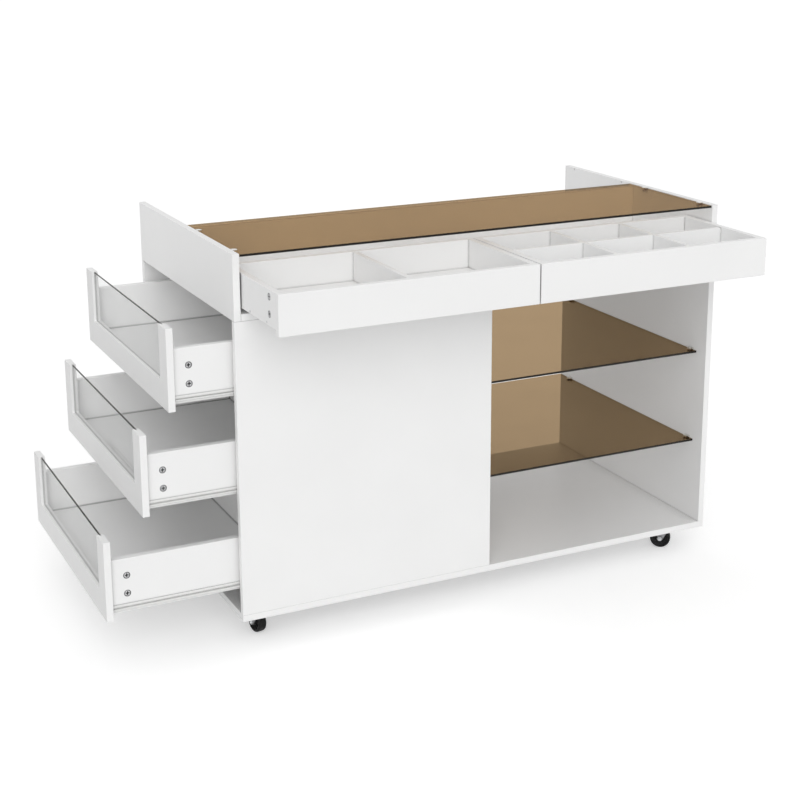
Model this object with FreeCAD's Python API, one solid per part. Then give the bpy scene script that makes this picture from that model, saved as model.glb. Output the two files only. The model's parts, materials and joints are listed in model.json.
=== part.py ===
import FreeCAD, Part
import math
import os

os.makedirs("parts", exist_ok=True)
V = FreeCAD.Vector
X_AXIS = V(1, 0, 0)
Y_AXIS = V(0, 1, 0)
Z_AXIS = V(0, 0, 1)

# Driving dimensions in millimetres.
# X runs along the length, Y from the front to the rear, Z up from the underside of the bottom board.

# Carcass
WIDTH = 1200.0
DEPTH = 650.0
BOARD = 15.0
DECK_UNDER = 664.0
TOP_STOREY = 141.0
COLUMN = 600.0
BAY_BEHIND_DRAWERS = 25.0
EDGE = 0.6
SCREW_IN = 60.0
PARTITION_SCREW_IN = 120.0
DECK_CAM_X_IN = 150.0
DECK_CAM_Y_IN = 160.0
PANEL_CAM_BEHIND_BAY = 75.0
BAY_CAM_UP = 61.0
BAY_SCREW_PAST_COLUMN = 90.0
BAY_TOP_GAP = 0.3

# Drawers that slide out of the left end
END_NAMES = ("lower", "middle", "upper")
END_DRAWN = (290.0, 204.0, 140.0)
END_FRONT_H = 176.0
END_REVEAL = 2.0
END_SIDE_GAP = 13.0
END_BOX_LENGTH = 400.0
END_SIDE_UP = 15.0
END_SIDE_H = 115.0
END_FLOOR = 5.0
END_FLOOR_UP = 9.0
END_CAM_UP = (37.5, 77.5)
END_SCREW_UP = (38.0, 95.0)
GROOVE = 5.0
GROOVE_PLAY = 0.15
FLOOR_PLAY = 0.3

# Window of an end drawer's front and the pane in it
STILE = 50.0
SILL = 58.0
WINDOW_R = 3.0
PANE = 4.0
PANE_SEAT = 8.0
PANE_PLAY = 0.2
PANE_SIDE_PLAY = 0.5
PANE_DROP = 1.0
GLASS_EDGE = 0.5

# Drawers under the glass top
TOP_GAP = 3.0
TOP_FRONT_H = 85.0
TOP_LIFT = 1.0
TOP_SIDE_UP = 11.0
TOP_LENGTH = 300.0
TOP_DRAWN = 204.0
TOP_FLOOR = 10.0
TOP_CAM_UP = (24.5, 59.5)
TOP_SCREW_UP = 42.0
FLOOR_SCREW_IN = 49.0
WIDE_DIVIDER = 12.0
THIN_DIVIDER = 9.0
DIVIDER_DROP = 1.0
DIVIDER_CORNER_R = 7.0
HALVING_PLAY = 0.1

# Glass
GLASS = 5.0
GLASS_PAST_BAY = 1.0
TOP_GLASS_DROP = 2.0
GLASS_FRONT = 2.0
GLASS_SIDE_GAP = 1.5
SHELF_TOPS = (219.0, 443.0)
SHELF_SETBACK = 35.0
SHELF_REAR_GAP = 2.0

# Glass clips
CLIP_W = 15.0
CLIP_DEEP = 12.0
CLIP_BASE = 4.0
CLIP_SLOT = 5.3
CLIP_PLAY = 0.15
CLIP_WEB = 1.0
CLIP_PIN_R = 2.5
CLIP_PIN = 7.5
CLIP_HOLE_R = 2.55
CLIP_HOLE = 8.0
SHELF_LIP = 4.0
TOP_CLIP_IN = (43.0, 71.0)
SHELF_CLIP_IN = (22.0, 50.0)

# Cam connectors
CAM_R = 7.4
CAM_DEEP = 12.0
CAM_BACK = 34.0
CAM_PLAY = 0.1
CAM_SUNK = 0.2
CROSS = 6.8
CROSS_W = 1.6
CROSS_DEEP = 3.0
BOLT_R = 3.0
BOLT_PLAY = 0.2
BOLT_START = 1.5
BOLT_GRIP = 11.0

# Confirmat screws
CONFIRMAT_L = 50.0
CONFIRMAT_R = 3.3
CONFIRMAT_HEAD_R = 4.8
CONFIRMAT_HEAD = 4.0
CONFIRMAT_SUNK = 0.3
SOCKET_R = 2.3
SOCKET_DEEP = 2.8

# Countersunk screws into the floors of the top drawers
FLOOR_SCREW_L = 35.0
FLOOR_SCREW_R = 1.6
FLOOR_SCREW_HEAD_R = 2.6
FLOOR_SCREW_HEAD = 1.8

# Screws with a low domed head: (head radius, shank radius, shank length, head height)
RAIL_SCREW = (3.2, 1.8, 12.0, 1.2)
CHANNEL_SCREW = (3.4, 1.8, 11.0, 1.8)
CASTER_SCREW = (4.2, 2.2, 13.0, 1.8)
SLOT = 3.8
SLOT_W = 0.8
SCREW_PLAY = 0.1

# Roller runners of the end drawers, across the side gap
STEEL = 1.2
RAIL_START = 2.0
RAIL_LOW = 1.0
RAIL_HIGH = 21.0
RAIL_REACH = 9.5
RAIL_LIP = 3.0
ROLLER_BAY = 24.0
RAIL_SCREW_IN = 40.0
TRACK_UNDER = 21.5
TRACK_NEAR = 4.5
TRACK_PLAY = 0.3
RUNNER_START = 1.0
RUNNER_FOOT = 12.0
RUNNER_TOP = 30.0
RUNNER_TAIL = 20.0
TAIL_LOW = 4.0
ROLLER_R = 9.0
ROLLER_W = 6.5
ROLLER_NEAR = 2.0
ROLLER_IN = 11.0
REAR_ROLLER_R = 8.5
REAR_ROLLER_W = 5.0
REAR_ROLLER_NEAR = 2.9
REAR_ROLLER_IN = 10.0
PIN_R = 2.5
RUN = 0.05

# Flat runners under the top drawers
CHANNEL_IN = 70.0
CHANNEL_START = 1.0
CHANNEL_END = 4.0
CHANNEL_W = 35.0
CHANNEL_H = 9.5
CHANNEL_LIP = 5.0
SLIDE_SEAT = 0.3
CHANNEL_SCREW_IN = 60.0

# Swivel casters
CASTER_IN = 62.0
CASTER_TURN = (100.0, 140.0, 200.0, -35.0)
CASTER_H = 66.0
TRAIL = 16.0
PLATE = 2.5
PLATE_HALF = 30.0
PLATE_CORNER_R = 8.0
PLATE_HOLE = 22.0
PLATE_HOLE_R = 2.6
KING_R = 5.0
RACE_R = 19.0
RACE_FOOT_R = 17.0
RACE_DEEP = 5.5
KING_GAP = 3.3
KING_HEAD_R = 8.5
KING_HEAD = 2.3
FORK_GAP = 0.3
FORK_STEEL = 2.2
CROWN_R = 17.5
LEG_GAP = 11.2
LEG_BACK = 9.0
LEG_FRONT = 19.0
LEG_FOOT_R = 6.8
WHEEL_R = 25.0
WHEEL_W = 20.0
HUB_R = 7.5
HUB_PROUD = 0.9
WEB_SINK = 3.0
RIM_R = 19.0
AXLE_R = 3.0
AXLE_PLAY = 0.02
AXLE_HEAD_R = 5.2
AXLE_HEAD = 3.0
NUT_R = 5.8
NUT = 3.6

# Worked out from the sizes above
INNER = DEPTH - 2 * BOARD
BAY = (DECK_UNDER - BOARD) / 3
DECK_TOP = DECK_UNDER + BOARD
PANEL_TOP = DECK_UNDER + TOP_STOREY
BAY_BACK = TOP_LENGTH + BAY_BEHIND_DRAWERS
RIGHT = WIDTH - BOARD
TOP_W = (WIDTH - 2 * BOARD - 3 * TOP_GAP) / 2
TOP_UNDER = DECK_TOP + TOP_LIFT
TOP_SIDE_Z = TOP_UNDER + TOP_SIDE_UP
TOP_HIGH = TOP_UNDER + TOP_FRONT_H
GLASS_HIGH = PANEL_TOP - TOP_GLASS_DROP
GLASS_LOW = GLASS_HIGH - GLASS
GLASS_REAR = BAY_BACK + BOARD + GLASS_PAST_BAY
SHELF_REAR = DEPTH - SHELF_REAR_GAP

# The origin lies on the floor, under the middle of the outline with the drawers drawn as shown.
SHIFT = V((END_DRAWN[0] - WIDTH) / 2, (TOP_DRAWN - DEPTH) / 2, CASTER_H)

NODES = {}
CUTS = {}


def box(x0, x1, y0, y1, z0, z1):
    return Part.makeBox(x1 - x0, y1 - y0, z1 - z0, V(x0, y0, z0))


def soften(shape, size=EDGE):
    return shape.makeChamfer(size, shape.Edges)


def board(x0, x1, y0, y1, z0, z1):
    return soften(box(x0, x1, y0, y1, z0, z1))


def rod(radius, start, direction, length):
    return Part.makeCylinder(radius, length, start, direction)


def prism(points, push):
    wire = Part.makePolygon(points + [points[0]])
    return Part.Face(wire).extrude(push)


def hexagon(centre, radius, side, other):
    turns = [math.radians(60 * k) for k in range(6)]
    return [centre + side * (radius * math.cos(t)) + other * (radius * math.sin(t)) for t in turns]


def join(pieces):
    first = pieces[0]
    return first.multiFuse(pieces[1:]).removeSplitter()


def carve(shape, tools):
    return shape.cut(tools) if tools else shape


def add(name, pieces):
    pieces = pieces if isinstance(pieces, list) else [pieces]
    NODES.setdefault(name, []).extend(pieces)


def cut(name, tools):
    tools = tools if isinstance(tools, list) else [tools]
    CUTS.setdefault(name, []).extend(tools)


def moved(pieces, step):
    return [p.translated(step) for p in pieces]


# Cam connector: a cam in the face of one board draws in a bolt from the edge of the next.
# Returns the cam with its bolt, and the pocket and bolt hole that they need.

def cam_lock(at, face, pull, crossed=True):
    mid = at - face * (BOARD / 2)
    cam = rod(CAM_R, at - face * CAM_DEEP, face, CAM_DEEP - CAM_SUNK)
    side = face.cross(pull)
    tools = [rod(BOLT_R + 2 * BOLT_PLAY, mid, pull, CAM_R + 1)]
    if crossed:
        for a, b in ((pull, side), (side, pull)):
            low = at - a * (CROSS / 2) - b * (CROSS_W / 2) - face * CROSS_DEEP
            corners = [low, low + a * CROSS, low + a * CROSS + b * CROSS_W, low + b * CROSS_W]
            tools.append(prism(corners, face * (CROSS_DEEP + 1)))
    cam = carve(cam, tools)
    bolt = rod(BOLT_R, mid + pull * BOLT_START, pull, CAM_BACK - BOLT_START + BOLT_GRIP)
    pocket = rod(CAM_R + CAM_PLAY, at - face * (CAM_DEEP + 0.3), face, CAM_DEEP + 1)
    hole = rod(BOLT_R + BOLT_PLAY, mid, pull, CAM_BACK + BOLT_GRIP + 0.5)
    return [cam, bolt], [pocket, hole]


# Confirmat screw: flush head with a hexagon socket, driven up or along from one face.

def confirmat(at, into):
    head = rod(CONFIRMAT_HEAD_R, at + into * CONFIRMAT_SUNK, into, CONFIRMAT_HEAD - CONFIRMAT_SUNK)
    shank = rod(CONFIRMAT_R, at + into * (CONFIRMAT_HEAD - 1), into, CONFIRMAT_L - CONFIRMAT_HEAD + 1)
    side = Z_AXIS.cross(into) if abs(into.z) < 0.5 else X_AXIS
    socket = prism(hexagon(at, SOCKET_R, side, into.cross(side)), into * SOCKET_DEEP)
    screw = join([head, shank]).cut(socket)
    hole = join([
        rod(CONFIRMAT_HEAD_R + SCREW_PLAY, at - into, into, CONFIRMAT_HEAD + 1 + SCREW_PLAY),
        rod(CONFIRMAT_R + SCREW_PLAY, at, into, CONFIRMAT_L + 0.5),
    ])
    return screw, hole


# Small screw with a domed, slotted head that stands on the face it holds down.

def pan_screw(at, into, size):
    head_r, shank_r, length, rise = size
    head = Part.makeCone(head_r, head_r * 0.6, rise, at, into * -1)
    side = into.cross(Z_AXIS) if abs(into.z) < 0.5 else X_AXIS
    other = into.cross(side)
    low = at - into * (rise / 2) - side * (SLOT / 2) - other * (SLOT_W / 2)
    slot = prism([low, low + side * SLOT, low + side * SLOT + other * SLOT_W, low + other * SLOT_W],
                 into * -rise)
    shank = rod(shank_r, at - into * 0.2, into, length)
    hole = rod(shank_r + SCREW_PLAY, at - into * 3, into, length + 3.3)
    return join([head, shank]).cut(slot), hole


# Countersunk screw through a side into the edge of a top drawer's floor.

def floor_screw(at, into):
    screw = join([
        rod(FLOOR_SCREW_HEAD_R, at + into * CONFIRMAT_SUNK, into, FLOOR_SCREW_HEAD),
        rod(FLOOR_SCREW_R, at + into * FLOOR_SCREW_HEAD, into, FLOOR_SCREW_L - FLOOR_SCREW_HEAD),
    ])
    holes = [
        rod(FLOOR_SCREW_HEAD_R + SCREW_PLAY, at - into, into, FLOOR_SCREW_HEAD + 1.5),
        rod(FLOOR_SCREW_R + SCREW_PLAY, at, into, FLOOR_SCREW_L + 0.5),
    ]
    return screw, holes


# Boards of the carcass before their holes

def carcass_boards():
    column_back = DEPTH - BOARD
    return {
        "bottom_board": board(0, WIDTH, 0, DEPTH, 0, BOARD),
        "front_panel": board(0, COLUMN, 0, BOARD, BOARD, DECK_UNDER),
        "back_panel": board(0, COLUMN, column_back, DEPTH, BOARD, DECK_UNDER),
        "centre_partition": board(COLUMN - BOARD, COLUMN, BOARD, column_back, BOARD, DECK_UNDER),
        "right_side_panel": board(RIGHT, WIDTH, 0, DEPTH, BOARD, PANEL_TOP),
        "left_upper_panel": board(0, BOARD, 0, DEPTH, DECK_UNDER, PANEL_TOP),
        "deck_board": board(BOARD, RIGHT, 0, DEPTH, DECK_UNDER, DECK_TOP),
        "drawer_bay_back": board(BOARD, RIGHT, BAY_BACK, BAY_BACK + BOARD, DECK_TOP, GLASS_LOW - BAY_TOP_GAP),
    }


# Screws up through the bottom board into the uprights, and through the deck into the bay's back

def carcass_screws():
    mid = BOARD / 2
    along = (SCREW_IN, COLUMN / 2, COLUMN - SCREW_IN)
    seats = [(x, mid, "front_panel") for x in along]
    seats += [(x, DEPTH - mid, "back_panel") for x in along]
    for name, x, inset in (("centre_partition", COLUMN - mid, PARTITION_SCREW_IN),
                           ("right_side_panel", WIDTH - mid, SCREW_IN)):
        seats += [(x, y, name) for y in (inset, DEPTH / 2, DEPTH - inset)]
    seats = [(x, y, 0, "bottom_board", upright) for x, y, upright in seats]
    for x in (DECK_CAM_X_IN, COLUMN + BAY_SCREW_PAST_COLUMN, WIDTH - DECK_CAM_X_IN):
        seats.append((x, BAY_BACK + mid, DECK_UNDER, "deck_board", "drawer_bay_back"))
    for x, y, z, lower, upper in seats:
        screw, hole = confirmat(V(x, y, z), Z_AXIS)
        add("carcass_screws", screw)
        cut(lower, hole)
        cut(upper, hole)


# Cams in the uprights hold the deck down, and cams under the deck and behind the bay hold the side panels

def carcass_cams():
    z = DECK_UNDER - CAM_BACK
    seats = []
    for x in (DECK_CAM_X_IN, COLUMN - DECK_CAM_X_IN):
        seats.append((V(x, BOARD, z), Y_AXIS, Z_AXIS, "front_panel", "deck_board"))
        seats.append((V(x, DEPTH - BOARD, z), Y_AXIS * -1, Z_AXIS, "back_panel", "deck_board"))
    for y in (DECK_CAM_Y_IN, DEPTH - DECK_CAM_Y_IN):
        seats.append((V(COLUMN - BOARD, y, z), X_AXIS * -1, Z_AXIS, "centre_partition", "deck_board"))
    for x, pull, panel in ((BOARD + CAM_BACK, X_AXIS * -1, "left_upper_panel"),
                           (RIGHT - CAM_BACK, X_AXIS, "right_side_panel")):
        for y in (SCREW_IN, BAY_BACK - PANEL_CAM_BEHIND_BAY, DEPTH - SCREW_IN):
            seats.append((V(x, y, DECK_UNDER), Z_AXIS * -1, pull, "deck_board", panel))
        behind = V(x, BAY_BACK + BOARD, DECK_TOP + BAY_CAM_UP)
        seats.append((behind, Y_AXIS, pull, "drawer_bay_back", panel))
    for at, face, pull, holder, pulled in seats:
        pieces, tools = cam_lock(at, face, pull, False)
        add("carcass_connectors", pieces)
        cut(holder, tools)
        cut(pulled, tools[1])


# Glass clip: a pin in the panel and two rounded lips around the edge of the glass
# Wall is the panel's face, and inward is 1 or -1, away from it.

def glass_clip(wall, inward, y, glass_low, lip):
    slot_low = glass_low - CLIP_PLAY
    low = slot_low - CLIP_BASE
    high = slot_low + CLIP_SLOT + lip

    def block(s0, s1, half, z0, z1):
        a = wall + inward * s0
        b = wall + inward * s1
        return box(min(a, b), max(a, b), y - half, y + half, z0, z1)

    nose = CLIP_DEEP - CLIP_W / 2
    round_end = rod(CLIP_W / 2, V(wall + inward * nose, y, low), Z_AXIS, high - low)
    body = join([block(0, nose, CLIP_W / 2, low, high), round_end])
    body = body.common(block(0, CLIP_DEEP, CLIP_W, low, high))
    mouth = block(CLIP_WEB, CLIP_DEEP + CLIP_W, CLIP_W, slot_low, slot_low + CLIP_SLOT)
    start = V(wall + inward * CLIP_WEB, y, slot_low + CLIP_SLOT / 2)
    pin = rod(CLIP_PIN_R, start, X_AXIS * -inward, CLIP_WEB + CLIP_PIN)
    hole = rod(CLIP_HOLE_R, start, X_AXIS * -inward, CLIP_WEB + CLIP_HOLE)
    return join([body.cut(mouth), pin]), hole


def glass_and_clips():
    for wall, inward, panel in ((BOARD, 1, "left_upper_panel"), (RIGHT, -1, "right_side_panel")):
        for y in (GLASS_FRONT + TOP_CLIP_IN[0], GLASS_REAR - TOP_CLIP_IN[1]):
            clip, hole = glass_clip(wall, inward, y, GLASS_LOW, TOP_GLASS_DROP - CLIP_PLAY)
            add("glass_clips", clip)
            cut(panel, hole)
            # The rear half has the same holes, mirrored about the middle of the depth, and no clips
            spare, hole = glass_clip(wall, inward, DEPTH - y, GLASS_LOW, TOP_GLASS_DROP - CLIP_PLAY)
            cut(panel, hole)
    for top in SHELF_TOPS:
        for wall, inward, panel in ((COLUMN, 1, "centre_partition"), (RIGHT, -1, "right_side_panel")):
            for y in (SHELF_SETBACK + SHELF_CLIP_IN[0], SHELF_REAR - SHELF_CLIP_IN[1]):
                clip, hole = glass_clip(wall, inward, y, top - GLASS, SHELF_LIP)
                add("glass_clips", clip)
                cut(panel, hole)
        shelf = box(COLUMN + GLASS_SIDE_GAP, RIGHT - GLASS_SIDE_GAP,
                    SHELF_SETBACK, SHELF_REAR, top - GLASS, top)
        add("glass_shelves", soften(shelf, GLASS_EDGE))
    glass = box(BOARD + GLASS_SIDE_GAP, RIGHT - GLASS_SIDE_GAP,
                GLASS_FRONT, GLASS_REAR, GLASS_LOW, GLASS_HIGH)
    add("glass_top", soften(glass, GLASS_EDGE))


# Runners of the end drawers are drawn by s, the distance in from the panel's inner face.
# With far set, that panel is the back one, and s counts towards the front.

def across(s, far):
    return DEPTH - BOARD - s if far else BOARD + s


def strip(s0, s1, far, x0, x1, z0, z1):
    a = across(s0, far)
    b = across(s1, far)
    return box(x0, x1, min(a, b), max(a, b), z0, z1)


# Fixed rail: a channel screwed to the panel, cut open at its front end for a roller

def runner_rail(far, z):
    x0 = BOARD + RAIL_START
    x1 = BOARD + END_BOX_LENGTH
    low = z + RAIL_LOW
    high = z + RAIL_HIGH
    inward = Y_AXIS * (-1 if far else 1)
    hub = V(x0 + ROLLER_IN, across(STEEL / 2, far), z + TRACK_UNDER - TRACK_PLAY - ROLLER_R)
    rail = join([
        strip(0, STEEL, far, x0, x1, low, high),
        strip(STEEL, RAIL_REACH, far, x0, x1, low, low + STEEL),
        strip(STEEL, RAIL_REACH, far, x0 + ROLLER_BAY, x1, high - STEEL, high),
        strip(RAIL_REACH - STEEL, RAIL_REACH, far, x0 + ROLLER_BAY, x1, high - RAIL_LIP, high),
        rod(PIN_R, hub, inward, RAIL_REACH - STEEL / 2),
    ])
    notch = strip(STEEL, RAIL_REACH + 1, far, x0 - 1, x0 + ROLLER_BAY - 2, low - 1, low + STEEL + 1)
    roller = rod(ROLLER_R, V(hub.x, across(ROLLER_NEAR, far), hub.z), inward, ROLLER_W)
    roller = roller.cut(rod(PIN_R + RUN, hub, inward, RAIL_REACH + STEEL))
    holes = []
    for x in (x0 + RAIL_SCREW_IN, (x0 + x1) / 2, x1 - RAIL_SCREW_IN):
        screw, hole = pan_screw(V(x, across(STEEL, far), (low + high) / 2), inward * -1, RAIL_SCREW)
        add("pan_head_screws", screw)
        holes.append(hole)
    return [rail.cut([notch] + holes), roller], holes


# Moving rail: wraps under the drawer side, with an outward track and a roller at its rear end

def drawer_runner(far, z):
    wall = END_SIDE_GAP
    x0 = BOARD + RUNNER_START
    x1 = BOARD + END_BOX_LENGTH
    foot = z + END_SIDE_UP
    outward = Y_AXIS * (1 if far else -1)
    start = wall - STEEL / 2
    hub_z = z + RAIL_LOW + STEEL + TRACK_PLAY + REAR_ROLLER_R
    hub = V(x1 - REAR_ROLLER_IN, across(start, far), hub_z)
    rail = join([
        strip(wall - STEEL, wall, far, x0, x1, foot - STEEL, z + RUNNER_TOP),
        strip(wall, wall + RUNNER_FOOT, far, x0, x1, foot - STEEL, foot),
        strip(TRACK_NEAR, wall - STEEL, far, x0, x1, z + TRACK_UNDER, z + TRACK_UNDER + STEEL),
        strip(wall - STEEL, wall, far, x1 - RUNNER_TAIL, x1, z + TAIL_LOW, foot),
        rod(PIN_R, hub, outward, start - REAR_ROLLER_NEAR),
    ])
    roller_start = across(REAR_ROLLER_NEAR + REAR_ROLLER_W, far)
    roller = rod(REAR_ROLLER_R, V(hub.x, roller_start, hub.z), outward, REAR_ROLLER_W)
    roller = roller.cut(rod(PIN_R + RUN, hub, outward, wall))
    return [rail, roller]


# U-shaped front of an end drawer: two stiles and a sill around a window that is open at the top

def end_front(y0, y1, z):
    top = z + END_FRONT_H
    window = box(-1, BOARD + 1, y0 + STILE, y1 - STILE, z + SILL, top + 1)
    lower = [e for e in window.Edges
             if abs(e.BoundBox.ZMax - (z + SILL)) < 0.01 and e.BoundBox.XLength > BOARD]
    window = window.makeFillet(WINDOW_R, lower)
    mid = BOARD / 2
    half = PANE / 2 + PANE_PLAY
    slot = box(mid - half, mid + half, y0 + STILE - PANE_SEAT, y1 - STILE + PANE_SEAT,
               z + SILL - PANE_SEAT, top + 1)
    pane = box(mid - PANE / 2, mid + PANE / 2, y0 + STILE - PANE_SEAT + PANE_SIDE_PLAY,
               y1 - STILE + PANE_SEAT - PANE_SIDE_PLAY, z + SILL - PANE_SEAT, top - PANE_DROP)
    front = board(0, BOARD, y0, y1, z, top).cut([window, slot])
    return front, soften(pane, GLASS_EDGE)


# One drawer of the left end, drawn in its closed place and then drawn out

def end_drawer(index):
    z = BOARD + (index + 1) * BAY - END_REVEAL - END_FRONT_H
    near = BOARD + END_SIDE_GAP
    rear = DEPTH - BOARD - END_SIDE_GAP
    foot = z + END_SIDE_UP
    head = foot + END_SIDE_H
    back_x = BOARD + END_BOX_LENGTH
    front, pane = end_front(BOARD + END_REVEAL, DEPTH - BOARD - END_REVEAL, z)
    side_near = board(BOARD, back_x, near, near + BOARD, foot, head)
    side_far = board(BOARD, back_x, rear - BOARD, rear, foot, head)
    back = board(back_x - BOARD, back_x, near + BOARD, rear - BOARD, foot, head)

    # The floor lies in a groove all round
    floor_z = foot + END_FLOOR_UP
    floor = box(BOARD - GROOVE + FLOOR_PLAY, back_x - BOARD + GROOVE - FLOOR_PLAY,
                near + BOARD - GROOVE, rear - BOARD + GROOVE, floor_z, floor_z + END_FLOOR)
    groove = box(BOARD - GROOVE, back_x - BOARD + GROOVE + GROOVE_PLAY,
                 near + BOARD - GROOVE - GROOVE_PLAY, rear - BOARD + GROOVE + GROOVE_PLAY,
                 floor_z - GROOVE_PLAY, floor_z + END_FLOOR + GROOVE_PLAY)
    front_cuts = [groove]
    side_cuts = [groove]

    # Two cams at the front and two screws at the rear of each side
    locks = []
    screws = []
    for y, face in ((near, Y_AXIS * -1), (rear, Y_AXIS)):
        for up in END_CAM_UP:
            pieces, tools = cam_lock(V(BOARD + CAM_BACK, y, foot + up), face, X_AXIS * -1)
            locks += pieces
            side_cuts += tools
            front_cuts.append(tools[1])
        for up in END_SCREW_UP:
            screw, hole = confirmat(V(back_x - BOARD / 2, y, foot + up), face * -1)
            screws.append(screw)
            side_cuts.append(hole)
    out = {
        "front_frame": [front.cut(front_cuts)],
        "glass_pane": [pane],
        "sides": [side_near.cut(side_cuts), side_far.cut(side_cuts)],
        "back": [back.cut(side_cuts)],
        "floor": [floor],
        "cam_locks": locks + screws,
        "runners": drawer_runner(False, z) + drawer_runner(True, z),
    }
    for kind, pieces in out.items():
        add(END_NAMES[index] + "_drawer_" + kind, moved(pieces, X_AXIS * -END_DRAWN[index]))
    for far, panel in ((False, "front_panel"), (True, "back_panel")):
        pieces, holes = runner_rail(far, z)
        add("runner_rails", pieces)
        cut(panel, holes)


# Flat runner under a top drawer: a folded strip slides in a lipped channel that lies on the deck

def channel(x, y0, y1):
    w = CHANNEL_W / 2
    low = DECK_TOP
    top = DECK_TOP + CHANNEL_H
    lip = w - CHANNEL_LIP
    right = [(w, low), (w, top), (lip, top), (lip, top - STEEL), (w - STEEL, top - STEEL),
             (w - STEEL, low + STEEL)]
    profile = right + [(-a, b) for a, b in reversed(right)]
    return prism([V(x + a, y0, b) for a, b in profile], Y_AXIS * (y1 - y0))


def slider(x, y0, y1):
    w = CHANNEL_W / 2 - STEEL - SLIDE_SEAT
    n = CHANNEL_W / 2 - CHANNEL_LIP - SLIDE_SEAT
    low = DECK_TOP + STEEL + SLIDE_SEAT
    tread = DECK_TOP + CHANNEL_H - STEEL - SLIDE_SEAT
    high = TOP_SIDE_Z
    right = [(n - STEEL, high - STEEL), (n - STEEL, low), (w, low), (w, tread), (n, tread), (n, high)]
    profile = right + [(-a, b) for a, b in reversed(right)]
    return prism([V(x + a, y0, b) for a, b in profile], Y_AXIS * (y1 - y0))


# Dividers stand on the floor, halved over each other where they cross

def one_divider(x0, x1, z0, z1):
    mid = (x0 + x1) / 2
    half = WIDE_DIVIDER / 2
    return [board(mid - half, mid + half, BOARD, TOP_LENGTH - BOARD, z0, z1)]


def cross_dividers(x0, x1, z0, z1):
    half = THIN_DIVIDER / 2
    cell = (x1 - x0 - 2 * BOARD - 2 * THIN_DIVIDER) / 3
    places = [x0 + BOARD + cell * (k + 1) + THIN_DIVIDER * (k + 0.5) for k in range(2)]
    mid = TOP_LENGTH / 2
    waist = (z0 + z1) / 2
    open_half = half + HALVING_PLAY
    across_piece = box(x0 + BOARD, x1 - BOARD, mid - half, mid + half, z0, z1)
    corners = [e for e in across_piece.Edges if e.BoundBox.YLength > 1 and e.BoundBox.ZMin > z1 - 0.1]
    across_piece = across_piece.makeFillet(DIVIDER_CORNER_R, corners)
    notches = [box(c - open_half, c + open_half, mid - half - 1, mid + half + 1, waist, z1 + 1) for c in places]
    dividers = [across_piece.cut(notches)]
    for c in places:
        short = board(c - half, c + half, BOARD, TOP_LENGTH - BOARD, z0, z1)
        notch = box(c - half - 1, c + half + 1, mid - open_half, mid + open_half, z0 - 1, waist)
        dividers.append(short.cut(notch))
    return dividers


# One drawer under the glass, drawn in its closed place and then drawn out

def top_drawer(name, x0, make_dividers):
    x1 = x0 + TOP_W
    rear = TOP_LENGTH
    floor_high = TOP_SIDE_Z + TOP_FLOOR
    front_cuts = []
    side_cuts = []
    locks = []
    screws = []
    for x, face in ((x0, X_AXIS * -1), (x1, X_AXIS)):
        for up in TOP_CAM_UP:
            pieces, tools = cam_lock(V(x, BOARD + CAM_BACK, TOP_SIDE_Z + up), face, Y_AXIS * -1)
            locks += pieces
            side_cuts += tools
            front_cuts.append(tools[1])
        for y in (BOARD + FLOOR_SCREW_IN, (BOARD + rear) / 2, rear - FLOOR_SCREW_IN):
            screw, holes = floor_screw(V(x, y, TOP_SIDE_Z + TOP_FLOOR / 2), face * -1)
            screws.append(screw)
            side_cuts += holes
        screw, hole = confirmat(V(x, rear - BOARD / 2, TOP_SIDE_Z + TOP_SCREW_UP), face * -1)
        screws.append(screw)
        side_cuts.append(hole)
    left = board(x0, x0 + BOARD, BOARD, rear, TOP_SIDE_Z, TOP_HIGH)
    right = board(x1 - BOARD, x1, BOARD, rear, TOP_SIDE_Z, TOP_HIGH)
    back = board(x0 + BOARD, x1 - BOARD, rear - BOARD, rear, TOP_SIDE_Z, TOP_HIGH)
    floor = board(x0 + BOARD, x1 - BOARD, BOARD, rear - BOARD, TOP_SIDE_Z, floor_high)
    y0 = BOARD + CHANNEL_START
    y1 = rear - CHANNEL_END
    tracks = (x0 + CHANNEL_IN, x1 - CHANNEL_IN)
    out = {
        "front": [board(x0, x1, 0, BOARD, TOP_UNDER, TOP_HIGH).cut(front_cuts)],
        "sides": [left.cut(side_cuts), right.cut(side_cuts)],
        "back": [back.cut(side_cuts)],
        "floor": [floor.cut(side_cuts)],
        "fasteners": locks + screws,
        "dividers": make_dividers(x0, x1, floor_high, TOP_HIGH - DIVIDER_DROP),
        "runners": [slider(x, y0, y1) for x in tracks],
    }
    for kind, pieces in out.items():
        add(name + "_" + kind, moved(pieces, Y_AXIS * -TOP_DRAWN))
    for x in tracks:
        holes = []
        for y in (CHANNEL_SCREW_IN, rear - CHANNEL_SCREW_IN):
            screw, hole = pan_screw(V(x, y, DECK_TOP + STEEL), Z_AXIS * -1, CHANNEL_SCREW)
            add("pan_head_screws", screw)
            holes.append(hole)
        add("top_runner_channels", channel(x, y0, y1).cut(holes))
        cut("deck_board", holes)


# Swivel casters are drawn with the trail along +X and the top of the plate at zero height.

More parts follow.
